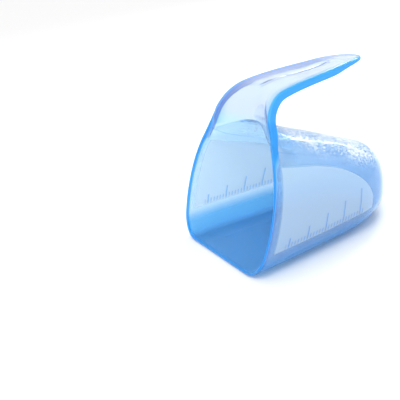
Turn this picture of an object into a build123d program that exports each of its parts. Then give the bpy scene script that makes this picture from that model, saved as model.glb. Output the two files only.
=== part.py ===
from build123d import *
import math
import os

# One-piece moulded measuring scoop for washing powder.
#
# The scoop is laid out in its mouth frame first: X runs from the mouth into the cup, Y across the
# cup and Z from the floor wall towards the handle, with the mouth plane at X = 0. The finished
# scoop is then turned about Y until its floor wall lies flat on Z = 0, handle uppermost.
# Lengths are millimetres and angles are degrees.

# Walls
WALL = 1.4                     # moulded wall, the same all over
RIM_STEP = 0.8                 # the rim band stands this far proud of the side walls

# Cup
CUP_DEPTH = 110.0              # mouth plane to the far end
MOUTH_HALF_WIDTH = 58.0        # at the widest height of the mouth
SIDE_BOW_RADIUS = 73.0         # side walls bow outwards on this radius
SIDE_BOW_HEIGHT = -2.0         # height of the widest line at the mouth
SIDE_BOW_RISE = 0.12           # rise of that line for each millimetre of depth
SIDE_DRAFT = 0.13              # each side wall comes in this much for each millimetre of depth
FLOOR_HEIGHT = -35.0           # floor wall at the mouth
FLOOR_ANGLE = 22.0             # floor wall to the cup's axis
FLOOR_CORNER_RADIUS = 20.0     # floor wall to side wall
END_ROUND_TOP = 24.0           # rounding of the far end, seen from the side, above
END_ROUND_FLOOR = 16.0         # the same, below
END_ROUND_SIDE = 42.0          # rounding of the far end, seen from above

# Raised vault along the top of the cup
VAULT_HEIGHT = 55.5            # crown of the vault at the mouth
VAULT_FALL = 0.058             # fall of the crown for each millimetre of depth
VAULT_HALF_WIDTH = 36.0        # crease to centre at the mouth
VAULT_DRAFT = 0.13             # each crease comes in this much for each millimetre of depth
CREASE_HEIGHT = 43.0           # crease between vault and shoulder
SHOULDER_HEIGHT = 34.0         # where the side wall turns into the shoulder

# The vault opens out like a bell where it meets the handle
FLARE_DEPTH = 14.0
FLARE_HALF_WIDTH = 41.0
FLARE_CREASE_HEIGHT = 45.0
FLARE_CROWN_HEIGHT = 64.0

# Handle: a sheet that rises in the mouth plane and bends back over the cup
BEND_START_HEIGHT = 56.0
BEND_RADIUS = 25.0
BEND_ANGLE = 61.0
GRIP_RADIUS = 330.0            # the grip goes on curving gently
HANDLE_LENGTH = 98.0           # along the sheet, from the start of the bend to the tip
HANDLE_ROOT = -12.0            # the sheet starts this far before the bend
TIP_LENGTH = 17.0              # rounded end of the grip
# Half-width of the handle at places along the sheet, measured from the start of the bend
HANDLE_WIDTHS = (
    (HANDLE_ROOT, 42.8),
    (-4.0, 38.8),
    (4.0, 34.4),
    (12.0, 31.0),
    (20.0, 28.3),
    (30.0, 26.8),
    (50.0, 23.8),
    (68.0, 20.3),
    (HANDLE_LENGTH - TIP_LENGTH, 16.8),
)
FLANGE_DEPTH = 5.0             # turned-back edge all round the handle
RIM_BAND_TOP = 50.0            # the rim band runs down each side of the mouth from here
RIM_BAND_FOOT = 4.0            # and tapers away at this height

FLARE_STEPS = 6                # sections through the flare
ROUND_STEPS = 10               # sections through the rounded end
END_CAP_ANGLE = 84.0           # the rounding stops here, on a small flat
MOUTH_OVERRUN = 20.0           # the hollow is carried this far out of the mouth
HANDLE_SPARE = 6.0             # the sheet is drawn this much longer than its outline
OUTLINE_SLANT = 53.0           # middle slant of the handle's curve
OUTLINE_REACH = 140.0
TIP_FULLNESS = 0.72            # how full the corners of the grip's rounded end are
REST_SHAVE = 0.1               # taken off the floor wall, so that it is truly flat


def floor_height(depth):
    """Height of the floor wall's outer face at a depth into the cup."""
    return FLOOR_HEIGHT + math.tan(math.radians(FLOOR_ANGLE)) * depth


def vault_at(depth, inset):
    """Crease half-width, crease height and crown height of the vault at a depth, with its flare."""
    start = 0.0 if inset else WALL
    reach = min(max((depth - start) / (FLARE_DEPTH - start), 0.0), 1.0)
    flare = (1.0 - reach) ** 2
    half_width = VAULT_HALF_WIDTH - VAULT_DRAFT * depth
    crown = VAULT_HEIGHT - VAULT_FALL * depth
    half_width += flare * (FLARE_HALF_WIDTH - VAULT_HALF_WIDTH)
    crease = CREASE_HEIGHT + flare * (FLARE_CREASE_HEIGHT - CREASE_HEIGHT)
    crown += flare * (FLARE_CROWN_HEIGHT - VAULT_HEIGHT)
    return half_width - inset, crease - inset, crown - inset


def on_arc(centre, radius, angle):
    """Point of an arc as (across, height)."""
    return centre[0] + radius * math.cos(angle), centre[1] + radius * math.sin(angle)


def half_section(depth, inset):
    """Half of the cup's section from the flat floor up to the crown, as (across, height) points.

    In order: end of the floor, corner arc's middle and end, side arc's middle and end, crease,
    vault arc's middle and end.
    """
    bow = SIDE_BOW_RADIUS - inset
    bow_centre = (MOUTH_HALF_WIDTH - RIM_STEP - SIDE_DRAFT * depth - SIDE_BOW_RADIUS,
                  SIDE_BOW_HEIGHT + SIDE_BOW_RISE * depth)
    corner = FLOOR_CORNER_RADIUS - inset
    corner_height = floor_height(depth) + FLOOR_CORNER_RADIUS
    drop = corner_height - bow_centre[1]
    corner_centre = (bow_centre[0] + math.sqrt((bow - corner) ** 2 - drop ** 2), corner_height)
    corner_end = math.atan2(drop, corner_centre[0] - bow_centre[0])
    shoulder = math.asin((SHOULDER_HEIGHT - bow_centre[1]) / SIDE_BOW_RADIUS)
    crease_across, crease_height, crown = vault_at(depth, inset)
    rise = crown - crease_height
    vault = (crease_across ** 2 + rise ** 2) / (2 * rise)
    vault_spread = math.asin(crease_across / vault)
    floor_end = -math.pi / 2
    return [
        on_arc(corner_centre, corner, floor_end),
        on_arc(corner_centre, corner, (floor_end + corner_end) / 2),
        on_arc(corner_centre, corner, corner_end),
        on_arc(bow_centre, bow, (corner_end + shoulder) / 2),
        on_arc(bow_centre, bow, shoulder),
        (crease_across, crease_height),
        on_arc((0, crown - vault), vault, math.pi / 2 - vault_spread / 2),
        (0, crown),
    ]


def end_rounding(depth, radius, length):
    """How far a wall has come in at a depth, where the far end is rounded."""
    into = max(0.0, (depth - (length - radius)) / radius)
    return radius * (1.0 - math.sqrt(max(0.0, 1.0 - into ** 2)))


def cup_section(depth, inset):
    """Closed section of the cup at a depth: flat floor, corners, bowed sides, shoulders and vault."""
    length = CUP_DEPTH - inset
    plain = min(depth, CUP_DEPTH - END_ROUND_FLOOR)
    points = half_section(plain, inset)
    across = max(y for y, z in points)
    low = points[0][1]
    high = points[-1][1]
    side = end_rounding(depth, END_ROUND_SIDE - inset, length) + SIDE_DRAFT * (depth - plain)
    foot = end_rounding(depth, END_ROUND_FLOOR - inset, length)
    new_low = low + foot + floor_height(depth) - floor_height(plain)
    new_high = high - end_rounding(depth, END_ROUND_TOP - inset, length) - VAULT_FALL * (depth - plain)
    narrower = 1.0 - side / across
    lower = (new_high - new_low) / (high - low)
    right = [Vector(depth, y * narrower, new_low + (z - low) * lower) for y, z in points]
    left = [Vector(p.X, -p.Y, p.Z) for p in right]
    edges = [Edge.make_line(left[0], right[0])]
    for side_points in (right, left):
        edges.append(Edge.make_three_point_arc(*side_points[0:3]))
        edges.append(Edge.make_three_point_arc(*side_points[2:5]))
        edges.append(Edge.make_line(side_points[4], side_points[5]))
        edges.append(Edge.make_three_point_arc(*side_points[5:8]))
    return Wire(edges)


def cup_body(inset):
    """Solid cup, or with an inset the space inside it: bell mouth, straight walls, rounded end."""
    start = 0.0 if inset else WALL
    length = CUP_DEPTH - inset
    round_start = CUP_DEPTH - END_ROUND_SIDE
    turns = [math.radians(END_CAP_ANGLE * k / ROUND_STEPS) for k in range(ROUND_STEPS + 1)]
    flare = [start + (FLARE_DEPTH - start) * k / FLARE_STEPS for k in range(FLARE_STEPS + 1)]
    rounding = [round_start + (length - round_start) * math.sin(a) for a in turns]
    mouth = Face(cup_section(start, inset))
    collar = extrude(mouth, MOUTH_OVERRUN if inset else WALL, dir=(-1, 0, 0))
    bell = Solid.make_loft([cup_section(depth, inset) for depth in flare], True)
    walls = Solid.make_loft([cup_section(FLARE_DEPTH, inset), cup_section(round_start, inset)], True)
    end = Solid.make_loft([cup_section(depth, inset) for depth in rounding], True)
    return collar + bell + walls + end


def handle_point(along):
    """Front face of the handle at a distance along it: (depth, height, angle of the sheet)."""
    bend = math.radians(BEND_ANGLE)
    bend_length = BEND_RADIUS * bend
    if along <= 0.0:
        return 0.0, BEND_START_HEIGHT + along, math.pi / 2
    if along <= bend_length:
        turn = along / BEND_RADIUS
        return (BEND_RADIUS * (1 - math.cos(turn)),
                BEND_START_HEIGHT + BEND_RADIUS * math.sin(turn), math.pi / 2 - turn)
    depth, height, angle = handle_point(bend_length)
    turned = angle - (along - bend_length) / GRIP_RADIUS
    return (depth + GRIP_RADIUS * (math.sin(angle) - math.sin(turned)),
            height + GRIP_RADIUS * (math.cos(turned) - math.cos(angle)), turned)


def handle_band(thickness):
    """The handle's side view as a band behind its front face, carried right across the width."""
    bend_end = BEND_RADIUS * math.radians(BEND_ANGLE)
    stops = (HANDLE_ROOT, 0.0, bend_end / 2, bend_end, (bend_end + HANDLE_LENGTH) / 2,
             HANDLE_LENGTH + HANDLE_SPARE)
    front = []
    back = []
    for along in stops:
        depth, height, angle = handle_point(along)
        front.append((depth, height))
        back.append((depth + thickness * math.sin(angle), height - thickness * math.cos(angle)))
    with BuildSketch(Plane.XZ) as band:
        with BuildLine():
            Line(front[0], front[1])
            ThreePointArc(front[1], front[2], front[3])
            ThreePointArc(front[3], front[4], front[5])
            Line(front[5], back[5])
            ThreePointArc(back[5], back[4], back[3])
            ThreePointArc(back[3], back[2], back[1])
            Line(back[1], back[0])
            Line(back[0], front[0])
        make_face()
    return extrude(band.sketch, MOUTH_HALF_WIDTH, both=True)


def handle_outline(inset):
    """Prism of the handle's outline, looking along the middle slant of its curve."""
    slant = math.radians(OUTLINE_SLANT)

    def reach(along):
        depth, height, angle = handle_point(along)
        return depth * math.cos(slant) + height * math.sin(slant)

    side = [Vector(reach(along), width - inset) for along, width in HANDLE_WIDTHS]
    tip = Vector(reach(HANDLE_LENGTH - inset), 0)
    other = [Vector(p.X, -p.Y) for p in side]
    view = Plane(origin=(0, 0, 0), x_dir=(math.cos(slant), 0, math.sin(slant)),
                 z_dir=(math.sin(slant), 0, -math.cos(slant)))
    with BuildSketch(view) as outline:
        with BuildLine():
            Spline(*side)
            shoulder = (side[-1].X + (tip.X - side[-1].X) * TIP_FULLNESS, side[-1].Y * TIP_FULLNESS)
            Spline(side[-1], shoulder, tip, tangents=[side[-1] - side[-2], (0, -1)])
            Spline(tip, (shoulder[0], -shoulder[1]), other[-1],
                   tangents=[(0, -1), other[-2] - other[-1]])
            Spline(*reversed(other))
            Line(other[0], side[0])
        make_face()
    return extrude(outline.sketch, OUTLINE_REACH, both=True)


def handle():
    """Bent sheet with its turned-back flange."""
    outline = handle_outline(0.0)
    sheet = handle_band(WALL) & outline
    flange = handle_band(FLANGE_DEPTH) & (outline - handle_outline(WALL))
    return sheet + flange


def rim_band():
    """Thicker band down each side of the mouth, tapering away towards its foot."""
    mouth = extrude(Face(cup_section(0.0, -RIM_STEP)), FLANGE_DEPTH, dir=(1, 0, 0))
    with BuildSketch(Plane.XZ) as taper:
        with BuildLine():
            Polyline((0, RIM_BAND_FOOT), (FLANGE_DEPTH, RIM_BAND_TOP), (0, RIM_BAND_TOP), close=True)
        make_face()
    return mouth & extrude(taper.sketch, 2 * MOUTH_HALF_WIDTH, both=True)


def scoop():
    """The whole moulding, lying on its floor wall with its origin under the middle of its box."""
    moulding = cup_body(0.0) + handle() + rim_band() - cup_body(WALL)
    lying = Rot(0, FLOOR_ANGLE, 0) * moulding
    floor = FLOOR_HEIGHT * math.cos(math.radians(FLOOR_ANGLE)) + REST_SHAVE
    box = lying.bounding_box()
    room = 2 * max(box.size.X, box.size.Y)
    table = Pos(0, 0, floor - room / 2) * Box(2 * room, 2 * room, room)
    return Pos(-box.center().X, -box.center().Y, -floor) * (lying - table)


os.makedirs("parts", exist_ok=True)
export_step(scoop(), "parts/scoop.step")
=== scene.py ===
"""Finished look of a large washing powder measuring scoop, moulded in one piece of translucent plastic.

Surfaces are worked out in the scoop's mouth frame, in millimetres: depth runs from the mouth into the
cup, height up the mouth towards the handle, and across from side to side. `Lay` turns that frame until
the floor wall lies flat, as the scoop does, and gives metres.
"""
from __future__ import annotations

import logging
import math
from collections.abc import Sequence
from dataclasses import dataclass, field
from enum import Enum

import bmesh
import bpy
import numpy as np
from mathutils import Matrix, Vector


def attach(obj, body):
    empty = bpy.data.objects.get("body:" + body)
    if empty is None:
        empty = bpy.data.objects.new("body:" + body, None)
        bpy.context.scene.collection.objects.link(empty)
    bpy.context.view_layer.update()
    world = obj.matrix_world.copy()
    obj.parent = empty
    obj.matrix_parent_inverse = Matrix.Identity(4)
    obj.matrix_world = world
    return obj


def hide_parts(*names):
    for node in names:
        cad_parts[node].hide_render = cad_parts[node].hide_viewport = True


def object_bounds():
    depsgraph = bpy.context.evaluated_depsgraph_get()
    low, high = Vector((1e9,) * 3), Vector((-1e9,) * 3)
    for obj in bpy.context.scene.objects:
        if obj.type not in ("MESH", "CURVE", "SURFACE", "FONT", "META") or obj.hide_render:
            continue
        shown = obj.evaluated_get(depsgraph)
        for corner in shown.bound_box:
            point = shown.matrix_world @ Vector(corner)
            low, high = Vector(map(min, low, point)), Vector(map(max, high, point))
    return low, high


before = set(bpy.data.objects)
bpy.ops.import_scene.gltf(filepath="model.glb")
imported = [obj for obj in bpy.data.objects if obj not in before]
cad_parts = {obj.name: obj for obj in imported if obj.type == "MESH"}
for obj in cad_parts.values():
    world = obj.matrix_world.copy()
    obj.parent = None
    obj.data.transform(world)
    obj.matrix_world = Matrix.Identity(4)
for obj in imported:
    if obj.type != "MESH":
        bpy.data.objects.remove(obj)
CAD_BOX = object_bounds()

LOG = logging.getLogger("scoop")
NODE = "scoop"
BODY = "root"
PIECE = "scoop_moulding"
SLOT = "translucent_polypropylene"
MM = 0.001
WALL = 1.4
FLOOR_HEIGHT = -35.0
FLOOR_ANGLE = math.radians(22.0)
RIM_DEPTH = 2.0

Pair = tuple[float, float]
Triple = tuple[float, float, float]
Colour = tuple[float, float, float, float]
Curve = tuple[Pair, ...]
Profile = tuple[Colour, ...]
Value = float | tuple | bpy.types.Node | bpy.types.NodeSocket


class Mark(Enum):
    """What each point of the mesh carries for the material to read."""

    PLACE = "mould"
    # How deep the colour is painted: painted light on the rim and flange, painted shade on the creases and
    # the arch, and a deepening on the handle's border.
    DEEPENING = "rim"


# ---------------------------------------------------------------------------------------------
# Numbers and curves


def eased(x: np.ndarray | float) -> np.ndarray:
    """Smooth step: 3x^2 - 2x^3 on x held between 0 and 1.

    Args:
        x: Place along the step.

    Returns:
        0 before the step, 1 after it.
    """
    x = np.clip(x, 0.0, 1.0)
    return x * x * (3.0 - 2.0 * x)


def through(points: Curve, x: np.ndarray) -> np.ndarray:
    """Smooth curve through given points: a cubic Hermite with central-difference slopes.

    Args:
        points: (x, value) pairs in rising x.
        x: Where to read the curve.

    Returns:
        The values at x, held at the ends.
    """
    knots, values = np.array(points, float).T
    slopes = np.gradient(values, knots)
    x = np.clip(x, knots[0], knots[-1])
    i = np.clip(np.searchsorted(knots, x, side="right") - 1, 0, len(knots) - 2)
    width = knots[i + 1] - knots[i]
    u = (x - knots[i]) / width
    rise = values[i + 1] - values[i]
    start, end = slopes[i] * width, slopes[i + 1] * width
    return values[i] + u * start + u**2 * (3 * rise - 2 * start - end) + u**3 * (start + end - 2 * rise)


def unit(v: np.ndarray) -> np.ndarray:
    """Vectors at length 1, along the last axis."""
    return v / np.maximum(np.linalg.norm(v, axis=-1, keepdims=True), 1e-12)


def stack(depth: np.ndarray, height: np.ndarray, across: np.ndarray) -> np.ndarray:
    """Mouth-frame points (depth, height, across) from three arrays that broadcast together."""
    return np.stack(np.broadcast_arrays(depth, height, across), axis=-1).astype(float)


@dataclass(frozen=True)
class Lay:
    """How the mouth frame lies in the object's frame."""

    shave: float = 0.1

    @property
    def turn(self) -> tuple[float, float]:
        """Cosine and sine of the floor angle."""
        return math.cos(FLOOR_ANGLE), math.sin(FLOOR_ANGLE)

    @property
    def offset(self) -> tuple[float, float]:
        """Place of the mouth frame's origin: the floor lip touches the CAD box's low X.

        Returns:
            X and Z in millimetres.
        """
        c, s = self.turn
        floor = FLOOR_HEIGHT * c + self.shave
        return CAD_BOX[0][0] / MM - floor / c * s, -floor

    def place(self, points: np.ndarray) -> np.ndarray:
        """Turn (depth, height, across) into the object's frame, kept on or above the floor.

        Args:
            points: Mouth-frame points in millimetres.

        Returns:
            Object-frame points in metres.
        """
        c, s = self.turn
        x0, z0 = self.offset
        depth, height, across = points[..., 0], points[..., 1], points[..., 2]
        x = depth * c + height * s + x0
        z = np.maximum(height * c - depth * s + z0, 0.0)
        return np.stack([x, across, z], axis=-1) * MM


# ---------------------------------------------------------------------------------------------
# The moulding's surfaces


@dataclass(frozen=True)
class Cup:
    """Inside of the cup: a closed section carried from the mouth to the rounded far end."""

    depth: float = 110.0
    mouth_half_width: float = 57.7
    bow_radius: float = 73.0
    bow_height: float = -2.0
    bow_rise: float = 0.12
    draft: float = 0.13
    floor_slope: float = math.tan(FLOOR_ANGLE)
    corner_radius: float = 20.0
    shoulder_height: float = 34.0
    crease_half_width: float = 36.0
    crease_draft: float = 0.13
    crease_height: float = 43.0
    crease_fall: float = 0.02
    crown_height: float = 55.5
    crown_fall: float = 0.058
    flare_depth: float = 14.0
    flare_out: float = 8.0
    flare_up: float = 3.0
    round_side: float = 42.0
    round_top: float = 24.0
    round_floor: float = 16.0
    dome_power: float = 2.3
    dome_start: float = 42.0
    dome_length: float = 50.0
    dome_fade: float = 0.25
    dome_least_reach: float = 0.5
    floor_columns: int = 15
    corner_columns: int = 14
    side_columns: int = 34
    shoulder_columns: int = 10

    @property
    def inner_depth(self) -> float:
        """Depth of the inside at the far end."""
        return self.depth - WALL

    def crease(self, depth: np.ndarray) -> tuple[np.ndarray, np.ndarray]:
        """Crease line of the inside: straight, opening out as a square law near the mouth.

        Args:
            depth: Depths along the cup.

        Returns:
            Across and height of the line.
        """
        flare = np.clip(1.0 - depth / self.flare_depth, 0.0, 1.0) ** 2
        across = self.crease_half_width - WALL - self.crease_draft * depth + self.flare_out * flare
        height = self.crease_height - WALL - self.crease_fall * depth + self.flare_up * flare
        return across, height

    def half_section(self, depth: np.ndarray, vault_at: np.ndarray) -> tuple[np.ndarray, np.ndarray]:
        """Half of the inside section at each depth, before the far end's rounding.

        The floor is level, the corner and the side are two arcs that touch, the shoulder is straight and
        the vault is an arc through the crease and the crown.

        Args:
            depth: Depths, one for each row.
            vault_at: Places along the vault from the crease, 0, to the crown, 1.

        Returns:
            Across and height, rows by columns, from the middle of the floor to the crown.
        """
        d = depth[:, None]
        bow = self.bow_radius - WALL
        bow_across = self.mouth_half_width - self.draft * d - self.bow_radius
        bow_height = self.bow_height + self.bow_rise * d
        corner = self.corner_radius - WALL
        low = FLOOR_HEIGHT + self.floor_slope * d + WALL
        drop = low + corner - bow_height
        corner_across = bow_across + np.sqrt((bow - corner) ** 2 - drop**2)
        corner_end = np.arctan2(drop, corner_across - bow_across)
        shoulder = np.arcsin((self.shoulder_height - bow_height) / self.bow_radius)
        crease_across, crease_height = (v[:, None] for v in self.crease(depth))
        crown = self.crown_height - WALL - self.crown_fall * d
        rise = crown - crease_height
        vault = (crease_across**2 + rise**2) / (2 * rise)
        spread = np.arcsin(crease_across / vault)

        u = np.linspace(0, 1, self.floor_columns)[None, :-1]
        across, height = [corner_across * u], [low + 0 * u]
        a = -np.pi / 2 + (corner_end + np.pi / 2) * np.linspace(0, 1, self.corner_columns)[None, :-1]
        across.append(corner_across + corner * np.cos(a))
        height.append(low + corner + corner * np.sin(a))
        a = corner_end + (shoulder - corner_end) * np.linspace(0, 1, self.side_columns)[None, :-1]
        across.append(bow_across + bow * np.cos(a))
        height.append(bow_height + bow * np.sin(a))
        top_across = bow_across + bow * np.cos(shoulder)
        top_height = bow_height + bow * np.sin(shoulder)
        u = np.linspace(0, 1, self.shoulder_columns)[None, :-1]
        across.append(top_across + (crease_across - top_across) * u)
        height.append(top_height + (crease_height - top_height) * u)
        a = np.pi / 2 - spread * (1 - vault_at[None, :])
        across.append(vault * np.cos(a))
        height.append(crown - vault + vault * np.sin(a))
        return np.concatenate(across, axis=1), np.concatenate(height, axis=1)

    def domed(self, depth: np.ndarray, across: np.ndarray,
              height: np.ndarray) -> tuple[np.ndarray, np.ndarray]:
        """Half sections with the crease and shoulder filled out to a dome towards the far end.

        Above the side's widest height each point moves towards a superellipse through that height and the
        crown, along its own ray from the middle.

        Args:
            depth: Depths, one for each row.
            across: Across of the half sections, rows by columns.
            height: Height of the half sections, rows by columns.

        Returns:
            The new across and height.
        """
        middle = (self.bow_height + self.bow_rise * depth)[:, None]
        half, crown = across.max(axis=1, keepdims=True), height[:, -1:]
        up = np.maximum(height - middle, 0.0) / (crown - middle)
        reach = ((across / half) ** self.dome_power + up**self.dome_power) ** (1 / self.dome_power)
        share = eased((depth - self.dome_start) / self.dome_length)[:, None] * eased(up / self.dome_fade)
        grow = 1 + (1 / np.maximum(reach, self.dome_least_reach) - 1) * share
        return across * grow, middle + (height - middle) * np.where(up > 0, grow, 1.0)

    def rounding(self, depth: np.ndarray, radius: float) -> np.ndarray:
        """How far a wall has come in where the far end is rounded: a quarter circle.

        Args:
            depth: Depths, one for each row.
            radius: The wall's outer radius there.

        Returns:
            Millimetres that the inside has come in, rows by one column.
        """
        inner = radius - WALL
        into = np.clip((depth - (self.inner_depth - inner)) / inner, 0.0, 1.0)
        return (inner * (1.0 - np.sqrt(1.0 - into**2)))[:, None]

    def rings(self, depth: np.ndarray, vault_at: np.ndarray) -> tuple[np.ndarray, int, int]:
        """Closed rings of the inside at each depth, from the middle of the floor up the far side.

        Each half section is squeezed between its floor, crown and side after these have come in by their
        quarter circles, and is mirrored. The last rows keep the section of the floor's first round row.

        Args:
            depth: Depths of the rows.
            vault_at: Columns of half the vault, from the crease, 0, to the crown, 1.

        Returns:
            (rows, columns, 3) points, and the column numbers of the far crease and the near crease.
        """
        plain = np.minimum(depth, self.depth - self.round_floor)
        across, height = self.domed(plain, *self.half_section(plain, vault_at))
        past = (depth - plain)[:, None]
        half = across.max(axis=1, keepdims=True)
        low, high = height[:, :1], height[:, -1:]
        side = self.rounding(depth, self.round_side) + self.draft * past
        new_low = low + self.rounding(depth, self.round_floor) + self.floor_slope * past
        new_high = high - self.rounding(depth, self.round_top) - self.crown_fall * past
        across = across * np.maximum(1 - side / half, 0.0)
        height = new_low + (height - low) / (high - low) * (new_high - new_low)
        right = stack(depth[:, None], height, across)
        left = right[:, -2:0:-1] * (1, 1, -1)
        far = across.shape[1] - len(vault_at)
        near = 2 * across.shape[1] - 2 - far
        return np.concatenate([right, left], axis=1), far, near


@dataclass(frozen=True)
class Handle:
    """Front face of the handle: a sheet that rises in the mouth plane and bends back over the cup."""

    start_height: float = 56.0
    bend_radius: float = 25.0
    bend_angle: float = math.radians(61.0)
    grip_radius: float = 330.0
    tip_start: float = 81.0
    tip_length: float = 17.0
    tip_power: float = 2.6
    edge: float = 2.4
    slope_step: float = 0.5
    widths: Curve = ((-20.0, 47.4), (-15.5, 45.0), (-12.0, 42.8), (-8.0, 40.8), (-4.0, 38.8), (0.0, 36.5),
                     (4.0, 34.4), (8.0, 32.5), (12.0, 31.0), (20.0, 28.3), (30.0, 26.8), (50.0, 23.8),
                     (68.0, 20.3), (81.0, 16.8), (98.0, 11.6))
    hollow_depth: float = 10.6
    hollow_low: float = -4.0
    hollow_length: float = 30.0
    hollow_least_half: float = 13.0
    hollow_more_half: float = 27.0
    hollow_middle: float = -12.0
    hollow_spread: float = 24.0
    hollow_flat: float = 1.6
    hollow_edge: float = 1.15
    fold: Curve = ((-12.0, 0.0), (12.0, 0.0), (22.0, -0.7), (32.0, -0.9), (46.0, 0.7), (58.0, 1.9),
                   (70.0, 1.6), (77.0, 0.4), (82.0, 0.0))
    fold_half_width: float = 15.0
    fold_softness: float = 0.3
    groove_depth: float = 0.5
    groove_half_width: float = 0.9
    groove_start: float = 22.0
    groove_end: float = 78.0
    groove_run_in: float = 6.0
    groove_run_out: float = 5.0

    def half_width(self, along: np.ndarray) -> np.ndarray:
        """Half-width of the outline at distances along the sheet from the start of the bend."""
        return through(self.widths, along)

    def inset_half_width(self, along: np.ndarray) -> np.ndarray:
        """Half-width of the part inside the rounded edge: the outline moved in square to itself."""
        slope = self.half_width(along + self.slope_step) - self.half_width(along - self.slope_step)
        return self.half_width(along) - self.edge * np.sqrt(1 + (slope / (2 * self.slope_step)) ** 2)

    def path(self, along: np.ndarray) -> tuple[np.ndarray, np.ndarray, np.ndarray]:
        """Middle of the front face: straight up, an arc of the bend radius, then the grip's long arc.

        Args:
            along: Distances along the sheet from the start of the bend.

        Returns:
            Depth, height, and the angle of the sheet above the depth axis.
        """
        turned = np.clip(along / self.bend_radius, 0.0, self.bend_angle)
        depth = self.bend_radius * (1 - np.cos(turned))
        height = self.start_height + self.bend_radius * np.sin(turned) + np.minimum(along, 0.0)
        first = math.pi / 2 - self.bend_angle
        rest = np.maximum(along - self.bend_radius * self.bend_angle, 0.0) / self.grip_radius
        depth = depth + self.grip_radius * (math.sin(first) - np.sin(first - rest))
        height = height + self.grip_radius * (np.cos(first - rest) - math.cos(first))
        return depth, height, math.pi / 2 - turned - rest

    def set_back(self, along: np.ndarray, across: np.ndarray) -> np.ndarray:
        """How far the face is hollowed towards the back.

        The hollow above the mouth falls as one minus a power of the share of its half-width, narrows as a
        bell curve and fades up the bend. The grip has a shallow fold with a fine groove in its middle.

        Args:
            along: Distances along the sheet.
            across: Distances across it.

        Returns:
            Millimetres towards the back.
        """
        depth = self.hollow_depth * (1 - eased((along - self.hollow_low) / self.hollow_length))
        bell = np.exp(-((along - self.hollow_middle) / self.hollow_spread) ** 2)
        half = self.hollow_least_half + self.hollow_more_half * bell
        share = np.clip(np.abs(across) / half, 0, 1)
        fold = np.exp(-np.sqrt(across**2 + self.fold_softness) / self.fold_half_width)
        groove = eased((along - self.groove_start) / self.groove_run_in)
        groove = groove * eased((self.groove_end - along) / self.groove_run_out)
        groove = groove * np.exp(-(across / self.groove_half_width) ** 2)
        hollow = depth * (1 - share**self.hollow_flat) ** self.hollow_edge
        return hollow + through(self.fold, along) * fold + self.groove_depth * groove

    def front(self, along: np.ndarray, across: np.ndarray) -> np.ndarray:
        """Points of the front face: those of the path, moved back square to it by the hollows.

        Args:
            along: Distances along the sheet.
            across: Distances across it.

        Returns:
            Mouth-frame points.
        """
        depth, height, angle = self.path(along)
        back = self.set_back(along, across)
        return stack(depth + back * np.sin(angle), height - back * np.cos(angle), across)

    def back_way(self, along: np.ndarray) -> np.ndarray:
        """Unit vectors square to the sheet, pointing to its back."""
        angle = self.path(along)[2]
        return stack(np.sin(angle), -np.cos(angle), np.zeros_like(angle))


@dataclass(frozen=True)
class Brim:
    """Rounded rim and its band on the cup, and rounded edge and turned-back flange on the handle.

    Each row of a profile is one point of it, from the front skin's edge round to the back skin's. A rim
    row is millimetres out, how much of the step is added to that, millimetres back, and how much of the
    band's depth is added to that. A flange row is millimetres out, millimetres back, how much of the
    flange's depth is added to that, and how much of the rim's depth is taken off at the handle's root.
    """

    flange: float = 5.0
    least_band: float = 1.4
    band_top: float = 50.0
    band_foot: float = 4.0
    crease_gap: float = 0.6
    tip_taper: float = 2.6
    taper_from: float = 62.0
    taper_length: float = 34.0
    rim_profile: Profile = (
        (0.0, 0.0, -0.8, 0.0), (0.0, 0.0, -1.4, 0.0), (0.18, 0.0, -1.82, 0.0), (0.6, 0.0, -2.0, 0.0),
        (0.8, 0.8, -2.0, 0.0), (1.22, 0.8, -1.82, 0.0), (1.4, 0.8, -1.4, 0.0), (1.4, 0.8, -0.85, 0.5),
        (1.4, 0.8, -0.3, 1.0), (1.4, 0.65, -0.05, 1.0), (1.4, 0.4, 0.0, 1.0), (1.42, 0.0, 0.1, 1.0))
    flange_profile: Profile = (
        (0.5, 0.0, 0.0, 0.5), (1.2, 0.0, 0.0, 1.0), (1.66, 0.09, 0.0, 1.0), (2.05, 0.35, 0.0, 1.0),
        (2.31, 0.74, 0.0, 1.0), (2.4, 1.2, 0.0, 1.0), (2.4, -0.7, 1.0, 1.0), (2.2, -0.2, 1.0, 1.0),
        (1.7, 0.0, 1.0, 1.0), (1.2, -0.2, 1.0, 2 / 3), (1.0, 1.4, 0.25, 1 / 3), (0.6, 1.4, 0.1, 0.0))

    def share(self, height: np.ndarray) -> np.ndarray:
        """How full the band is at a height on the rim: 1 by the handle, 0 low on the sides."""
        return np.clip((height - self.band_foot) / (self.band_top - self.band_foot), 0, 1)

    def band(self, height: np.ndarray) -> np.ndarray:
        """Depth of the band behind the mouth's front plane at a height on the rim."""
        return self.least_band + self.flange * self.share(height)

    def rim(self, height: np.ndarray) -> tuple[np.ndarray, np.ndarray]:
        """The rim's profile at each edge point.

        Args:
            height: Height of each edge point.

        Returns:
            Millimetres out and back, profile points by edge points.
        """
        out, step, back, deep = np.array(self.rim_profile).T[..., None]
        return out + step * self.share(height), back + deep * (self.band(height) - RIM_DEPTH)

    def turned_flange(self, along: np.ndarray, lift: np.ndarray) -> tuple[np.ndarray, np.ndarray]:
        """The flange's profile at each edge point, shallower towards the tip.

        Args:
            along: Distance along the handle of each edge point.
            lift: How far each edge point stands behind the mouth's front plane.

        Returns:
            Millimetres out and back, profile points by edge points.
        """
        out, back, deep, lifted = np.array(self.flange_profile).T[..., None]
        full = self.flange - self.tip_taper * eased((along - self.taper_from) / self.taper_length)
        return out + 0 * along, back + deep * full - lifted * lift


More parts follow.
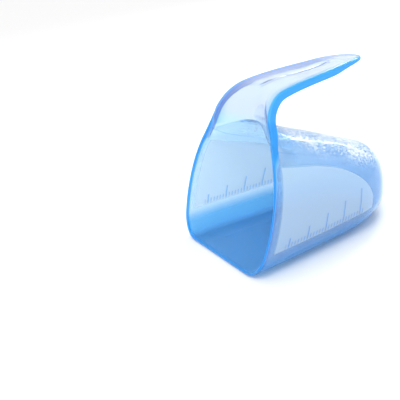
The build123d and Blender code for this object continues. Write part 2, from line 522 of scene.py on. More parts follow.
@dataclass
class Skin:
    """One side of the wall: rings round the cup and rows up the handle, which share the rim's vault."""

    rings: np.ndarray
    sheet: np.ndarray
    along: np.ndarray
    vault: np.ndarray
    tub: np.ndarray
    relax_pull: float = 0.5
    relax_reach: float = 13.0
    relax_middle: int = 3

    def points(self) -> np.ndarray:
        """All points: the rings, then the handle's rows."""
        return np.concatenate([self.rings.reshape(-1, 3), self.sheet.reshape(-1, 3)])

    def numbers(self) -> tuple[np.ndarray, np.ndarray]:
        """Point numbers, counted through the rings and then through the handle's rows.

        Returns:
            Numbers of the rings, and of the handle with the rim's vault as its first row.
        """
        rings = np.arange(self.rings.shape[0] * self.rings.shape[1]).reshape(self.rings.shape[:2])
        sheet = rings.size + np.arange(self.sheet.shape[0] * self.sheet.shape[1])
        return rings, np.concatenate([rings[-1:, self.vault], sheet.reshape(self.sheet.shape[:2])])

    def quads(self) -> np.ndarray:
        """Point numbers of every four-sided face, in the same turning sense.

        Returns:
            (faces, 4) point numbers.
        """
        rings, sheet = self.numbers()
        turned = np.roll(rings, -1, axis=1)
        cup = np.stack([rings[:-1], turned[:-1], turned[1:], rings[1:]], axis=-1)
        grip = np.stack([sheet[:-1, :-1], sheet[1:, :-1], sheet[1:, 1:], sheet[:-1, 1:]], axis=-1)
        return np.concatenate([cup.reshape(-1, 4), grip.reshape(-1, 4)])

    def edge_numbers(self) -> np.ndarray:
        """Free edge in order: rim from far crease to near, near side of the handle, tip, far side."""
        rings, sheet = self.numbers()
        return np.concatenate([rings[-1, self.tub], sheet[1:-1, 0], sheet[-1], sheet[1:-1, -1][::-1]])

    def edge_points(self) -> np.ndarray:
        """Points along the free edge."""
        return self.points()[self.edge_numbers()]

    def edge_along(self) -> np.ndarray:
        """Distance along the handle at each edge point; on the cup's rim it is far below the root."""
        rim = np.full(len(self.tub), -1e3)
        return np.concatenate([rim, self.along[:-1, 0], self.along[-1], self.along[:-1, -1][::-1]])

    def relax(self, passes: int) -> None:
        """Moves each point near the rolled mouth towards the mean of its four neighbours.

        The pull is a bell curve over the rows, with its middle a few rows up the handle.

        Args:
            passes: How many times the points move.
        """
        count = len(self.rings)
        run = np.concatenate([self.rings[:, self.vault], self.sheet])
        place = np.arange(len(run)) - count - self.relax_middle
        weight = self.relax_pull * np.exp(-((place[1:-1] / self.relax_reach) ** 2))[:, None, None]
        for _ in range(passes):
            mean = (run[:-2, 1:-1] + run[2:, 1:-1] + run[1:-1, :-2] + run[1:-1, 2:]) / 4
            run[1:-1, 1:-1] += weight * (mean - run[1:-1, 1:-1])
        self.rings[1:, self.vault[1:-1]] = run[1:count, 1:-1]
        self.sheet = run[count:]

    def moved(self) -> tuple[np.ndarray, np.ndarray]:
        """The skin moved back by the wall along its point normals, the sums of its faces' normals.

        The floor's normal says which way is out.

        Returns:
            Rings and handle rows.
        """
        points, quads = self.points(), self.quads()
        a, b, c, d = (points[quads[:, i]] for i in range(4))
        normal = np.cross(c - a, d - b)
        total = np.zeros_like(points)
        for corner in quads.T:
            np.add.at(total, corner, normal)
        count = self.rings.shape[0] * self.rings.shape[1]
        middle_of_floor = self.rings.shape[0] // 2 * self.rings.shape[1]
        way = -1 if total[middle_of_floor, 1] > 0 else 1
        points = points + WALL * way * unit(total)
        return points[:count].reshape(self.rings.shape), points[count:].reshape(self.sheet.shape)


@dataclass(frozen=True)
class Deepening:
    """How far the colour is painted deeper at each point: fully on the rim and flange, where light gathers,
    as painted light carried along the wall; in part on the crease lines and the arch over the mouth, as
    painted shade.
    """

    front_edge: float = 0.6
    back_edge: float = 0.4
    face_rows: int = 8
    turned_in: float = 0.6
    low_band: float = 0.3
    pale_below: float = 42.0
    pale_length: float = 14.0
    # Painted shade along the two crease lines and the arch over the mouth.
    crease: float = 0.5
    crease_shade_end: float = 60.0
    crease_shade_length: float = 40.0
    arch_shade_row: int = -6
    border: float = 0.36
    border_from: float = 0.72
    border_width: float = 0.24

    def amounts(self, front: Skin, brim: np.ndarray, shares: np.ndarray, total: int) -> np.ndarray:
        """Deepening of every point of the moulding; the back skin's points follow the front skin's.

        The band low on the sides is paler than the rim in front of it. The crease lines and the arch over
        the mouth are deepened in part as painted shade, and the handle's border is deepened in part.

        Args:
            front: The front skin.
            brim: Point numbers of the rim and flange, profile points by edge points.
            shares: Each handle column's share of the half-width.
            total: Number of points in the moulding.

        Returns:
            One number for each point, from 0 to 1.
        """
        rings, sheet = front.numbers()
        loop, back = front.edge_numbers(), len(front.points())
        amount = np.zeros(total)
        # Painted light: the rim and flange strips take the full painted deepening, their turned-in rows
        # less.
        amount[brim[:self.face_rows]] = 1.0
        amount[brim[self.face_rows:]] = self.turned_in
        low = eased((self.pale_below - front.rings[-1, front.tub, 1]) / self.pale_length)
        band = brim[:, :len(front.tub)]
        amount[band[self.face_rows - 1]] = 1 - (1 - self.low_band) * low
        amount[band[self.face_rows:]] = self.turned_in + (self.low_band - self.turned_in) * low
        amount[loop] = self.front_edge
        amount[back + loop] = self.back_edge
        # Painted shade along the two crease lines, fading out towards the far end.
        fold = self.crease * eased((self.crease_shade_end - front.rings[:, 0, 0]) / self.crease_shade_length)
        for column in (front.vault[0], front.vault[-1]):
            amount[rings[:, column]] = np.maximum(amount[rings[:, column]], fold)
        border = self.border * eased((np.abs(shares) - self.border_from) / self.border_width)
        for face in (sheet[1:], back + sheet[1:]):
            amount[face] = np.maximum(amount[face], border)
        # Painted shade along the arch over the mouth, on a row in the middle of the roll.
        arch = rings[self.arch_shade_row, front.vault]
        amount[arch] = np.maximum(amount[arch], self.crease)
        return amount


@dataclass(frozen=True)
class Moulding:
    """The whole scoop as one closed skin: inside and front, outside and back, and the edge between."""

    cup: Cup = field(default_factory=Cup)
    handle: Handle = field(default_factory=Handle)
    brim: Brim = field(default_factory=Brim)
    deepening: Deepening = field(default_factory=Deepening)
    lay: Lay = field(default_factory=Lay)
    end_rows: int = 40
    wall_rows: int = 26
    mouth_rows: int = 22
    hollow_rows: int = 46
    grip_rows: int = 72
    half_vault: int = 34
    first_turn: float = 88.0
    vault_bunching: float = 0.1
    grip_bunching: float = 0.08
    regular_from: float = 24.0
    root_along: float = -12.2
    root_length: float = 8.0
    arch_rise: float = 11.8
    arch_half_width: float = 34.2
    arch_spread: float = 6.1
    corner_power: int = 14
    roll_reach: float = 1.1
    crease_columns: float = 1.7
    shoulder_soft_columns: float = 6.0
    ease_pull: float = 0.8
    ease_passes: int = 10
    front_passes: int = 8
    back_passes: int = 14

    @property
    def throat(self) -> int:
        """Number of the ring row where the vault starts to roll forward."""
        return self.end_rows + self.wall_rows - 2

    def vault_places(self) -> np.ndarray:
        """Columns of half the vault and handle, from the edge, 0, to the middle, 1, closer at both ends."""
        u = np.linspace(0, 1, self.half_vault)
        return u - self.vault_bunching * np.sin(2 * np.pi * u)

    def shares(self) -> np.ndarray:
        """Each vault column's share of the half-width, from the near edge, -1, to the far edge, 1."""
        half = self.vault_places()
        return np.concatenate([half - 1, (1 - half)[-2::-1]])

    def corner(self) -> np.ndarray:
        """1 at the two outermost vault columns, falling off steeply, as a high power of the share."""
        return np.abs(self.shares()) ** self.corner_power

    def root_fade(self, along: np.ndarray) -> np.ndarray:
        """1 at the root of the handle's edge, fading to 0 over the root's length."""
        return 1 - eased((along - self.root_along) / self.root_length)

    def past_crease(self, count: int) -> np.ndarray:
        """0 at both ends of the rim's edge points, where the creases are, rising to 1 over the shoulder."""
        step = np.arange(count)
        return eased(np.minimum(step, step[::-1]) / self.cup.shoulder_columns)

    def rows(self) -> np.ndarray:
        """Depths of the ring rows from the far end to the rim, closer where the end is round.

        Returns:
            Falling depths.
        """
        cup = self.cup
        start = cup.depth - cup.round_side
        turn = np.radians(np.linspace(self.first_turn, 0.0, self.end_rows))
        end = start + (cup.inner_depth - start) * np.sin(turn)
        walls = np.linspace(start, cup.flare_depth, self.wall_rows)[1:]
        mouth = np.linspace(cup.flare_depth, RIM_DEPTH, self.mouth_rows)[1:]
        return np.concatenate([end, walls, mouth])

    def cup_rings(self) -> tuple[np.ndarray, np.ndarray, np.ndarray]:
        """Rings of the cup with the creases and the tops of the side walls eased.

        Easing is a running mean over three columns, taken several times and weighted towards the crease
        and, more widely, the top of the side wall.

        Returns:
            The rings; the vault's columns from near to far; the other columns from far to near.
        """
        rings, far, near = self.cup.rings(self.rows(), self.vault_places())
        count = rings.shape[1]
        columns = np.arange(count)
        weight = np.zeros(count)
        for crease, way in ((far, -1), (near, 1)):
            shoulder = crease + way * (self.cup.shoulder_columns - 1)
            weight = np.maximum(weight, np.exp(-((columns - crease) / self.crease_columns) ** 2))
            weight = np.maximum(weight, np.exp(-((columns - shoulder) / self.shoulder_soft_columns) ** 2))
        for _ in range(self.ease_passes):
            mean = (np.roll(rings, 1, axis=1) + np.roll(rings, -1, axis=1)) / 2
            rings = rings + (mean - rings) * (self.ease_pull * weight[None, :, None])
        vault = np.arange(near, far - 1, -1)
        return rings, vault, np.arange(far, near - count - 1, -1) % count

    def roll(self, rings: np.ndarray, vault: np.ndarray, hollow: np.ndarray) -> np.ndarray:
        """Vault rows between throat and hollow: each column leaves along the cup and turns on a Hermite.

        Args:
            rings: Cup rings.
            vault: Vault columns.
            hollow: The handle's first two rows or more.

        Returns:
            (mouth rows, columns, 3) points.
        """
        start, end = rings[self.throat, vault], hollow[0]
        corner = self.corner()[:, None]
        leave = unit(start - rings[self.throat - 1, vault])
        climb = unit(unit(hollow[1] - end) * (1 - corner) + unit(end - start) * corner)
        reach = self.roll_reach * np.linalg.norm(end - start, axis=-1, keepdims=True)
        u = np.linspace(0, 1, self.mouth_rows)[:, None, None]
        ends = (2 * u**3 - 3 * u**2 + 1) * start + (3 * u**2 - 2 * u**3) * end
        return ends + reach * ((u**3 - 2 * u**2 + u) * leave + (u**3 - u**2) * climb)

    def sheet(self, rim: np.ndarray) -> tuple[np.ndarray, np.ndarray]:
        """Handle rows from the arch over the mouth to the tip.

        The arch is a parabola across the hollow. From it the columns spread in eased steps to their own
        share of the width, and from there run evenly to the tip's superellipse.

        Args:
            rim: The rim row's vault points, which the arch meets at its two ends.

        Returns:
            (rows, columns, 3) points, and the distance along the handle of each.
        """
        handle, share, corner = self.handle, self.shares(), self.corner()
        start = self.root_along + self.arch_rise * (1 - share**2)
        start_half = self.arch_half_width + self.arch_spread * share**4
        start_share = share * start_half / handle.inset_half_width(start)
        u = np.linspace(0, 1, self.hollow_rows)[:, None]
        hollow_along = start + (self.regular_from - start) * u
        hollow_share = start_share + (share - start_share) * eased(u)
        turn = share * np.pi / 2
        tip = (handle.tip_length - handle.edge) * np.abs(np.cos(turn)) ** (2 / handle.tip_power)
        tip_share = np.sign(share) * np.abs(np.sin(turn)) ** (2 / handle.tip_power)
        u = np.linspace(0, 1, self.grip_rows)[1:, None]
        u = u + self.grip_bunching * np.sin(np.pi * u)
        grip_along = self.regular_from + (handle.tip_start + tip - self.regular_from) * u
        grip_share = share + (tip_share - share) * eased(2 * u - 1)
        along = np.concatenate([hollow_along, grip_along])
        shares = np.concatenate([hollow_share, grip_share])
        shares[:, 0], shares[:, -1] = -1, 1
        points = handle.front(along, shares * handle.inset_half_width(along))
        points[..., 0] += RIM_DEPTH * self.root_fade(along) * corner
        points[0] += (rim - points[0]) * corner[:, None]
        return points, along

    def front_skin(self) -> Skin:
        """Inside of the cup and front of the handle, with the rolled mouth relaxed.

        Returns:
            The front skin.
        """
        rings, vault, tub = self.cup_rings()
        sheet, along = self.sheet(rings[-1, vault])
        rings[self.throat:, vault] = self.roll(rings, vault, sheet)
        skin = Skin(rings, sheet[1:], along[1:], vault, tub)
        skin.relax(self.front_passes)
        return skin

    def back_skin(self, front: Skin) -> Skin:
        """Outside of the cup and back of the handle: the front skin moved back by the wall.

        Behind the rim the side walls start only past the band, so their last rows are squeezed: each is
        read between two of the moved rows.

        Args:
            front: The front skin.

        Returns:
            The back skin.
        """
        rings, sheet = front.moved()
        past = self.past_crease(len(front.tub))
        band = self.brim.band(front.rings[-1, front.tub, 1]) - RIM_DEPTH
        foot = np.maximum(self.brim.crease_gap + band * past, 0.0)
        rows = rings[self.throat:, front.tub]
        last, column = len(rows) - 1, np.arange(rows.shape[1])
        kept = 1 - foot / (self.cup.flare_depth - RIM_DEPTH)
        place = np.linspace(0, 1, len(rows))[:, None] * kept * last
        low = np.minimum(place.astype(int), last - 1)
        part = (place - low)[..., None]
        rings[self.throat:, front.tub] = rows[low, column] * (1 - part) + rows[low + 1, column] * part
        skin = Skin(rings, sheet, front.along, front.vault, front.tub)
        skin.relax(self.back_passes)
        return skin

    def edge(self, front: Skin) -> np.ndarray:
        """Rim and flange: strips of points from the front skin's edge round to the back skin's.

        Out is square to the edge and to the way back. The rim's profile changes to the flange's beside
        the crease.

        Args:
            front: The front skin.

        Returns:
            (profile points, edge points, 3) points, without the two skins' own edges.
        """
        start, along = front.edge_points(), front.edge_along()
        way_back = self.handle.back_way(along)
        way_out = unit(np.cross(np.roll(start, -2, axis=0) - np.roll(start, 2, axis=0), way_back))
        count = len(front.tub)
        flange, lift = np.ones(len(start)), RIM_DEPTH * self.root_fade(along)
        flange[:count] = 1 - self.past_crease(count)
        rim_out, rim_back = self.brim.rim(start[:, 1])
        flange_out, flange_back = self.brim.turned_flange(along, lift)
        out = rim_out + (flange_out - rim_out) * flange
        back = rim_back + (flange_back - rim_back) * flange
        return start + way_out * out[..., None] + way_back * back[..., None]

    def build(self) -> tuple[np.ndarray, list, np.ndarray]:
        """Every point of the moulding, in the mouth frame, and its faces.

        Quads join the skins' own points, a ladder of quads joins the two edges over the brim's strips,
        and a fan of triangles closes each skin at the far end.

        Returns:
            (points, 3) points in millimetres, faces as lists of point numbers, and each point's
            deepening.
        """
        front = self.front_skin()
        back = self.back_skin(front)
        strips = self.edge(front)
        points = [front.points(), back.points(), strips.reshape(-1, 3)]
        base, loop = len(points[0]), front.edge_numbers()
        brim = 2 * base + np.arange(strips.shape[0] * strips.shape[1]).reshape(strips.shape[:2])
        ladder = np.concatenate([loop[None], brim, base + loop[None]])
        turned = np.roll(ladder, -1, axis=1)
        quads = np.stack([ladder[:-1], turned[:-1], turned[1:], ladder[1:]], axis=-1).reshape(-1, 4)
        faces = np.concatenate([front.quads(), base + front.quads(), quads]).tolist()
        columns = front.rings.shape[1]
        for first, skin in ((0, front), (base, back)):
            pole = sum(len(p) for p in points)
            points.append(skin.rings[0].mean(axis=0)[None])
            ring = first + np.arange(columns)
            faces += np.stack([ring, np.roll(ring, -1), np.full(columns, pole)], axis=-1).tolist()
        points = np.concatenate(points)
        return points, faces, self.deepening.amounts(front, brim, self.shares(), len(points))


# ---------------------------------------------------------------------------------------------
# Material


def linear(colour: str) -> Colour:
    """Linear RGBA of an sRGB hex colour such as #a7ccf3."""
    parts = [int(colour[i:i + 2], 16) / 255 for i in (1, 3, 5)]
    return (*(v / 12.92 if v <= 0.04045 else ((v + 0.055) / 1.055) ** 2.4 for v in parts), 1.0)


class Kind(Enum):
    """Nodes in use: Blender's type without its ShaderNode prefix, and the node's own settings."""

    PLACE = ("Attribute", {"attribute_name": Mark.PLACE.value})
    DEEPENING = ("Attribute", {"attribute_name": Mark.DEEPENING.value})
    SPLIT = ("SeparateXYZ", {})
    PLUS = ("Math", {"operation": "ADD"})
    MINUS = ("Math", {"operation": "SUBTRACT"})
    TIMES = ("Math", {"operation": "MULTIPLY"})
    TIMES_PLUS = ("Math", {"operation": "MULTIPLY_ADD"})
    SHARE = ("Math", {"operation": "DIVIDE"})
    LEAST = ("Math", {"operation": "MINIMUM"})
    MOST = ("Math", {"operation": "MAXIMUM"})
    SIZE = ("Math", {"operation": "ABSOLUTE"})
    ROOT = ("Math", {"operation": "SQRT"})
    ZIGZAG = ("Math", {"operation": "PINGPONG"})
    STEP = ("MapRange", {"interpolation_type": "SMOOTHSTEP"})
    MIX = ("Mix", {"data_type": "RGBA"})
    NOISE = ("TexNoise", {})
    BUMP = ("Bump", {})
    SURFACE = ("BsdfPrincipled", {})
    ABSORPTION = ("VolumeAbsorption", {})
    OUTPUT = ("OutputMaterial", {})


@dataclass
class Tree:
    """A material's node tree, with one call to add a node."""

    material: bpy.types.Material

    def __post_init__(self) -> None:
        """Empties the material's tree."""
        self.material.use_nodes = True
        self.tree = self.material.node_tree
        self.tree.nodes.clear()

    def add(self, kind: Kind, *values: Value, **named: Value) -> bpy.types.Node:
        """Adds a node with its settings and links.

        Args:
            kind: The kind of node.
            *values: For the sockets in use, in their order: a number, a colour, a socket, or a node for
                its first output in use.
            **named: The same for sockets by name, with underscores for spaces.

        Returns:
            The node.
        """
        blender_type, settings = kind.value
        node = self.tree.nodes.new("ShaderNode" + blender_type)
        for name, value in settings.items():
            setattr(node, name, value)
        pairs = list(zip((socket for socket in node.inputs if socket.enabled), values))
        pairs += [(node.inputs[name.replace("_", " ")], value) for name, value in named.items()]
        for socket, value in pairs:
            if isinstance(value, bpy.types.Node):
                value = next(output for output in value.outputs if output.enabled)
            if isinstance(value, bpy.types.NodeSocket):
                self.tree.links.new(value, socket)
            else:
                socket.default_value = value
        return node


@dataclass
class MouldTree(Tree):
    """Tree that knows where on the moulding a point lies, in millimetres of the mouth frame."""

    def __post_init__(self) -> None:
        """Reads the numbers that each point carries."""
        super().__post_init__()
        self.place = self.add(Kind.PLACE).outputs["Vector"]
        self.depth, self.height, self.across = self.add(Kind.SPLIT, self.place).outputs
        self.deepening = self.add(Kind.DEEPENING).outputs["Fac"]


@dataclass(frozen=True)
class EtchedPanel:
    """Etched field on both side walls: straight at the mouth, a quarter ellipse at the far end."""

    start: float = 6.0
    foot_height: float = -18.5
    foot_slope: float = 0.404
    top_height: float = 33.5
    top_slope: float = 0.08
    end_depth: float = 44.0
    end_length: float = 35.0
    end_height: float = 17.5
    end_rise: float = 18.7
    end_scale: float = 20.0
    border: float = 0.3
    side_from: float = 30.0
    side_to: float = 31.0

    def above_foot(self, tree: MouldTree) -> bpy.types.Node:
        """Height above the panel's sloping foot."""
        foot = tree.add(Kind.TIMES_PLUS, tree.depth, self.foot_slope, self.foot_height)
        return tree.add(Kind.MINUS, tree.height, foot)

    def on_side(self, tree: MouldTree) -> bpy.types.Node:
        """1 on the two side walls, 0 between them."""
        return tree.add(Kind.STEP, tree.add(Kind.SIZE, tree.across), self.side_from, self.side_to)

    def mask(self, tree: MouldTree) -> bpy.types.Node:
        """1 inside the panel: where the least distance to its top, foot, start and end is positive.

        Args:
            tree: The material's tree.

        Returns:
            The mask.
        """
        add = tree.add
        squares = []
        for way, start, length in ((tree.depth, self.end_depth, self.end_length),
                                   (tree.height, self.end_height, self.end_rise)):
            share = add(Kind.SHARE, add(Kind.MOST, add(Kind.MINUS, way, start), 0.0), length)
            squares.append(add(Kind.TIMES, share, share))
        end = add(Kind.MINUS, 1.0, add(Kind.ROOT, add(Kind.PLUS, *squares)))
        top = add(Kind.TIMES_PLUS, tree.depth, self.top_slope, self.top_height)
        inside = add(Kind.MINUS, top, tree.height)
        for distance in (self.above_foot(tree), add(Kind.MINUS, tree.depth, self.start),
                         add(Kind.TIMES, end, self.end_scale)):
            inside = add(Kind.LEAST, inside, distance)
        return add(Kind.TIMES, add(Kind.STEP, inside, -self.border, self.border), self.on_side(tree))


@dataclass(frozen=True)
class MeasuringScale:
    """Raised lines standing on the panel's foot: a long one every 13 mm, and short ones six to that."""

    first: float = 15.3
    short_spacing: float = 13.0 / 6.0
    short_widths: Pair = (0.35, 0.2)
    short_heights: Pair = (3.6, 3.4)
    long_spacing: float = 13.0
    long_widths: Pair = (0.5, 0.3)
    long_heights: Pair = (0.2, 0.0)
    long_growth: float = 0.19
    long_least: float = 3.6
    foot: Pair = (0.2, 0.5)
    start: Pair = (13.0, 13.2)
    end: Pair = (70.5, 70.3)

    def mask(self, tree: MouldTree, panel: EtchedPanel) -> bpy.types.Node:
        """1 on the lines. The distance to the nearest one is a zigzag of half its spacing.

        Args:
            tree: The material's tree.
            panel: The panel that the lines stand on.

        Returns:
            The mask.
        """
        add, foot = tree.add, panel.above_foot(tree)
        past = add(Kind.MINUS, tree.depth, self.first)
        top = add(Kind.TIMES_PLUS, tree.depth, self.long_growth, self.long_least)
        lines: Value = 0.0
        for spacing, widths, height, heights in (
                (self.short_spacing, self.short_widths, foot, self.short_heights),
                (self.long_spacing, self.long_widths, add(Kind.MINUS, foot, top), self.long_heights)):
            near = add(Kind.STEP, add(Kind.ZIGZAG, past, spacing / 2), *widths)
            lines = add(Kind.MOST, lines, add(Kind.TIMES, near, add(Kind.STEP, height, *heights)))
        for limit in (add(Kind.STEP, foot, *self.foot), add(Kind.STEP, tree.depth, *self.start),
                      add(Kind.STEP, tree.depth, *self.end), panel.on_side(tree)):
            lines = add(Kind.TIMES, lines, limit)
        return lines


@dataclass(frozen=True)
class PowderDust:
    """Washing powder left on the vault: specks of about a millimetre, thicker in soft patches."""

    speck: float = 1.1765
    patch: float = 22.222
    colour: str = "#ffffff"
    cover: float = 0.85
    crest_height: float = 50.0
    crest_slope: float = -0.12
    crest: Pair = (-8.0, 4.0)
    below_handle: Pair = (60.0, 58.0)
    behind_mouth: Pair = (12.0, 30.0)
    patches: Pair = (0.35, 0.75)
    bare_level: float = 0.57
    thick_change: float = -0.13
    softness: float = 0.02

    def mask(self, tree: MouldTree) -> bpy.types.Node:
        """How much powder covers a point: specks above a level that is lower in dense patches.

        Args:
            tree: The material's tree.

        Returns:
            The mask.
        """
        add = tree.add
        specks = add(Kind.NOISE, tree.place, Scale=1 / self.speck, Detail=4.0, Roughness=0.75)
        patches = add(Kind.NOISE, tree.place, Scale=1 / self.patch, Detail=5.0, Roughness=0.6)
        crest = add(Kind.TIMES_PLUS, tree.depth, self.crest_slope, self.crest_height)
        part = add(Kind.STEP, add(Kind.MINUS, tree.height, crest), *self.crest)
        part = add(Kind.TIMES, part, add(Kind.STEP, tree.height, *self.below_handle))
        part = add(Kind.TIMES, part, add(Kind.STEP, tree.depth, *self.behind_mouth))
        powder_patches_and_painted_shade = add(Kind.TIMES, add(Kind.STEP, patches, *self.patches), part)
        level = add(Kind.TIMES_PLUS, powder_patches_and_painted_shade, self.thick_change, self.bare_level)
        grain = add(Kind.STEP, add(Kind.MINUS, specks, level), 0.0, self.softness)
        return add(Kind.TIMES, add(Kind.TIMES, grain, part), self.cover)


@dataclass(frozen=True)
class Masks:
    """Nodes that give 1 on a part of the surface and 0 off it."""

    panel: bpy.types.Node
    lines: bpy.types.Node
    dust: bpy.types.Node
    powder_patches_and_painted_shade: bpy.types.Node


@dataclass(frozen=True)
class TranslucentPolypropylene:
    """Natural polypropylene tinted pale blue, injection moulded in a polished tool.

    Where light comes through the wall it looks nearly white, and where it travels along the wall a clear
    blue. These are painted into the colour: the handle is painted paler, as painted light; the rim and
    flange are painted a clear blue, as painted light carried along the wall; the crease lines, the arch
    over the mouth, the floor below the panel and the rounded far end are painted a deeper blue, as painted
    shade, though the wall is no thicker there. The tool's long waviness bends the highlights. The side
    walls carry a lightly etched panel, which looks satin, with a raised measuring scale. The body's index
    of refraction is far below the plastic's 1.49, so that what lies behind a wall shows nearly in its
    place, as it does through a real wall this slight; the coat gives back the gloss that this takes away.
    """

    panel: EtchedPanel = field(default_factory=EtchedPanel)
    scale: MeasuringScale = field(default_factory=MeasuringScale)
    dust: PowderDust = field(default_factory=PowderDust)
    polished: str = "#c6e1f8"
    etched_colour: str = "#d9ecfa"
    # Painted light: the clear blue painted on the rim and flange for light carried along the wall; in part
    # it is also the painted shade on the creases and the arch.
    edge: str = "#38a9fb"
    # Painted light: the handle is painted paler, where light comes through its one sheet.
    painted_light_handle: str = "#d4dbf0"
    # Painted shade: deeper blue on the floor below the panel and at the rounded far end.
    deep: str = "#60bdf4"
    line: str = "#8fc6fa"
    tint: Colour = (0.0, 0.7, 0.98, 1.0)
    density: float = 90.0
    gloss: float = 0.1
    bend: float = 1.14
    coat: float = 0.6
    coat_bend: float = 1.38
    clear: float = 0.78
    rim_cloud: float = 0.5
    panel_cloud: float = 0.22
    painted_shade_cloud: float = 0.12
    clouded: Pair = (0.36, 0.6)
    rim_satin: float = 0.25
    etched: float = 0.36
    painted_shade_share: float = 0.85
    # Heights where the handle's painted light comes in; then the ranges of the painted shade on the floor,
    # the far end and below the handle.
    handle: Pair = (50.0, 60.0)
    floor: Pair = (-19.0, -27.0)
    far_end: Pair = (70.0, 106.0)
    below_handle: Pair = (62.0, 50.0)
    etch_grain: float = 0.4545
    etch_relief: float = 0.02
    wave: float = 16.667
    wave_relief: float = 0.25
    line_relief: float = 0.25

    def build(self) -> bpy.types.Material:
        """Makes the material.

        Returns:
            The material.
        """
        tree = MouldTree(bpy.data.materials.new(SLOT))
        on = Masks(self.panel.mask(tree), self.scale.mask(tree, self.panel), self.dust.mask(tree),
                   self.powder_patches_and_painted_shade(tree))
        relief = self.relief(tree, on)
        surface = tree.add(
            Kind.SURFACE, Base_Color=self.colour(tree, on), Roughness=self.roughness(tree, on),
            IOR=self.bend, Transmission_Weight=self.clearness(tree, on), Normal=relief,
            Coat_Weight=self.coat, Coat_Roughness=self.gloss, Coat_IOR=self.coat_bend,
            Coat_Normal=relief)
        volume = tree.add(Kind.ABSORPTION, Color=self.tint, Density=self.density)
        tree.add(Kind.OUTPUT, Surface=surface, Volume=volume).is_active_output = True
        return tree.material

    def powder_patches_and_painted_shade(self, tree: MouldTree) -> bpy.types.Node:
        """1 where painted shade deepens the blue: the floor below the panel, and the rounded far end.

        Args:
            tree: The material's tree.

        Returns:
            The mask.
        """
        # Painted shade: the wall below the panel's foot and the rounded far end under the handle.
        floor = tree.add(Kind.TIMES_PLUS, tree.depth, -self.panel.foot_slope, tree.height)
        end = tree.add(Kind.TIMES, tree.add(Kind.STEP, tree.depth, *self.far_end),
                       tree.add(Kind.STEP, tree.height, *self.below_handle))
        return tree.add(Kind.MOST, tree.add(Kind.STEP, floor, *self.floor), end)

    def colour(self, tree: MouldTree, on: Masks) -> bpy.types.Node:
        """Pale blue, painted paler on the handle as painted light, painted deeper below the panel and at
        the far end as painted shade, then panel, lines, painted rim and crease deepening, dust.

        Args:
            tree: The material's tree.
            on: The parts of the surface.

        Returns:
            The colour.
        """
        # Painted light on the handle, painted shade below the panel and at the far end; the painted
        # deepening of rim and creases comes after the panel and lines.
        handle = tree.add(Kind.STEP, tree.height, *self.handle)
        deep = tree.add(Kind.TIMES, on.powder_patches_and_painted_shade, self.painted_shade_share)
        colour: Value = linear(self.polished)
        for share, other in ((handle, self.painted_light_handle), (deep, self.deep), (on.panel, self.etched_colour),
                             (on.lines, self.line), (tree.deepening, self.edge),
                             (on.dust, self.dust.colour)):
            colour = tree.add(Kind.MIX, share, colour, linear(other))
        return colour

    def roughness(self, tree: MouldTree, on: Masks) -> bpy.types.Node:
        """Polished, with satin on the panel and the rim.

        Args:
            tree: The material's tree.
            on: The parts of the surface.

        Returns:
            The roughness.
        """
        panel = tree.add(Kind.TIMES, on.panel, self.etched - self.gloss)
        rim = tree.add(Kind.TIMES, tree.deepening, self.rim_satin)
        return tree.add(Kind.PLUS, self.gloss, tree.add(Kind.MOST, panel, rim))

    def clearness(self, tree: MouldTree, on: Masks) -> bpy.types.Node:
        """How much light goes straight through: less at the panel, the painted-shade parts and rim, least
        at dust.

        Args:
            tree: The material's tree.
            on: The parts of the surface.

        Returns:
            The share of light.
        """
        rim = tree.add(Kind.STEP, tree.deepening, *self.clouded)
        cloud: Value = on.dust
        for mask, amount in ((on.panel, self.panel_cloud), (rim, self.rim_cloud),
                             (on.powder_patches_and_painted_shade, self.painted_shade_cloud)):
            cloud = tree.add(Kind.MOST, cloud, tree.add(Kind.TIMES, mask, amount))
        return tree.add(Kind.TIMES, tree.add(Kind.MINUS, 1.0, cloud), self.clear)

    def relief(self, tree: MouldTree, on: Masks) -> bpy.types.Node:
        """Bump in millimetres: etching grain on the panel, the tool's waviness, and the raised lines.

        The grain of a real etching is finer than this; it is as coarse as it needs to be to show.

        Args:
            tree: The material's tree.
            on: The parts of the surface.

        Returns:
            The bump.
        """
        add = tree.add
        grain = add(Kind.NOISE, tree.place, Scale=1 / self.etch_grain, Detail=3.0)
        waves = add(Kind.NOISE, tree.place, Scale=1 / self.wave, Detail=1.0)
        relief = add(Kind.TIMES, grain, add(Kind.TIMES, on.panel, self.etch_relief))
        for part, rise in ((waves, self.wave_relief), (on.lines, self.line_relief)):
            relief = add(Kind.PLUS, relief, add(Kind.TIMES, part, rise))
        return add(Kind.BUMP, Strength=1.0, Distance=MM, Height=relief)


@dataclass(frozen=True)
class MattPaintedBoard:
    """White board with a rolled coat of matt paint, which gives the eye soft shade and no gloss."""

    colour: str = "#fafafa"
    roughness: float = 0.9

    def build(self) -> bpy.types.Material:
        """Makes the material.

        Returns:
            The material.
        """
        tree = Tree(bpy.data.materials.new("matt_painted_board"))
        surface = tree.add(Kind.SURFACE, Base_Color=linear(self.colour), Roughness=self.roughness)
        tree.add(Kind.OUTPUT, Surface=surface)
        return tree.material


# ---------------------------------------------------------------------------------------------
# Piece and studio


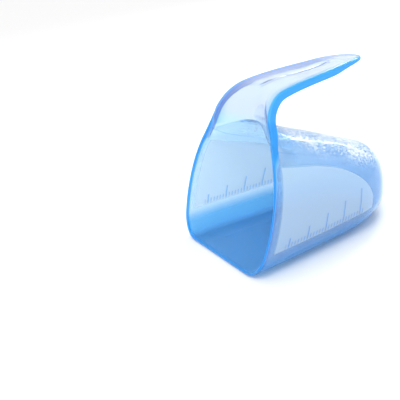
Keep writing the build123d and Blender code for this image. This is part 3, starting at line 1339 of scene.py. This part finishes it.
@dataclass(frozen=True)
class Scoop:
    """The finished piece."""

    moulding: Moulding = field(default_factory=Moulding)
    finish: TranslucentPolypropylene = field(default_factory=TranslucentPolypropylene)

    def build(self) -> bpy.types.Object:
        """Makes the mesh, dresses it and ties it to the frame.

        Returns:
            The piece.
        """
        points, faces, deepening = self.moulding.build()
        mesh = bpy.data.meshes.new(PIECE)
        mesh.from_pydata(self.moulding.lay.place(points), [], faces)
        attribute = mesh.attributes.new(Mark.PLACE.value, "FLOAT_VECTOR", "POINT")
        attribute.data.foreach_set("vector", points.astype(np.float32).ravel())
        attribute = mesh.attributes.new(Mark.DEEPENING.value, "FLOAT", "POINT")
        attribute.data.foreach_set("value", deepening.astype(np.float32))
        work = bmesh.new()
        work.from_mesh(mesh)
        bmesh.ops.recalc_face_normals(work, faces=work.faces)
        open_edges = sum(not edge.is_manifold for edge in work.edges)
        work.to_mesh(mesh)
        volume = work.calc_volume(signed=True)
        work.free()
        mesh.polygons.foreach_set("use_smooth", [True] * len(mesh.polygons))
        LOG.info("%s: %d faces, %d open edges, %.1f cm3", PIECE, len(faces), open_edges, volume * 1e6)
        piece = bpy.data.objects.new(PIECE, mesh)
        bpy.context.scene.collection.objects.link(piece)
        mesh.materials.append(self.finish.build())
        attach(piece, BODY)
        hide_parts(NODE)
        return piece


@dataclass(frozen=True)
class Lamp:
    """Soft square area light that faces the scoop."""

    name: str
    place: Triple
    size: float
    power: float
    target: Triple = (0.0, 0.0, 0.05)

    def build(self) -> None:
        """Makes the light."""
        light = bpy.data.lights.new(self.name, "AREA")
        light.energy, light.size = self.power, self.size
        lamp = bpy.data.objects.new(self.name, light)
        bpy.context.scene.collection.objects.link(lamp)
        lamp.location = self.place
        way = Vector(self.target) - Vector(self.place)
        lamp.rotation_euler = way.to_track_quat("-Z", "Y").to_euler()


@dataclass(frozen=True)
class Studio:
    """Pale floor, soft light and the camera."""

    floor_size: float = 60.0
    floor_drop: float = 0.0002
    board: MattPaintedBoard = field(default_factory=MattPaintedBoard)
    sky: str = "#ffffff"
    sky_strength: float = 1.0
    lamps: tuple[Lamp, ...] = (Lamp("key", (-0.25, -0.5, 0.9), 0.4, 2.5),
                               Lamp("back", (0.6, 0.5, 0.6), 0.45, 5.0))
    camera_place: Triple = (-0.24043, -0.4355, 0.2162)
    camera_right: Triple = (0.883, -0.428, -0.194)
    camera_forward: Triple = (0.345, 0.871, -0.350)
    lens: float = 72.0
    nearest: float = 0.01

    def build(self) -> None:
        """Makes the floor, world, lights and camera."""
        bpy.context.scene.view_settings.view_transform = "Standard"
        self.floor()
        self.world()
        for lamp in self.lamps:
            lamp.build()
        self.camera()

    def floor(self) -> None:
        """Level square, so wide that it fades into the world."""
        half = self.floor_size / 2
        mesh = bpy.data.meshes.new("floor")
        mesh.from_pydata([(-half, -half, 0), (half, -half, 0), (half, half, 0), (-half, half, 0)], [],
                         [(0, 1, 2, 3)])
        mesh.materials.append(self.board.build())
        floor = bpy.data.objects.new("floor", mesh)
        bpy.context.scene.collection.objects.link(floor)
        floor.location.z = -self.floor_drop

    def world(self) -> None:
        """Even white light from all round."""
        world = bpy.data.worlds.new("studio")
        world.use_nodes = True
        background = world.node_tree.nodes["Background"].inputs
        background["Color"].default_value = linear(self.sky)
        background["Strength"].default_value = self.sky_strength
        bpy.context.scene.world = world

    def camera(self) -> None:
        """Camera from its place, its way forward, and a way right made square to that."""
        camera = bpy.data.objects.new("camera", bpy.data.cameras.new("camera"))
        bpy.context.scene.collection.objects.link(camera)
        forward = Vector(self.camera_forward).normalized()
        right = Vector(self.camera_right)
        right = (right - right.dot(forward) * forward).normalized()
        turn = Matrix((right, right.cross(forward), -forward)).transposed()
        camera.matrix_world = Matrix.Translation(self.camera_place) @ turn.to_4x4()
        camera.data.lens = self.lens
        camera.data.clip_start = self.nearest
        bpy.context.scene.camera = camera


def main() -> None:
    """Builds the scoop and the studio, and logs each."""
    logging.basicConfig(level=logging.INFO)
    piece = Scoop().build()
    LOG.info("built %s", piece.name)
    Studio().build()
    LOG.info("built the studio")


if __name__ == "__main__":
    main()
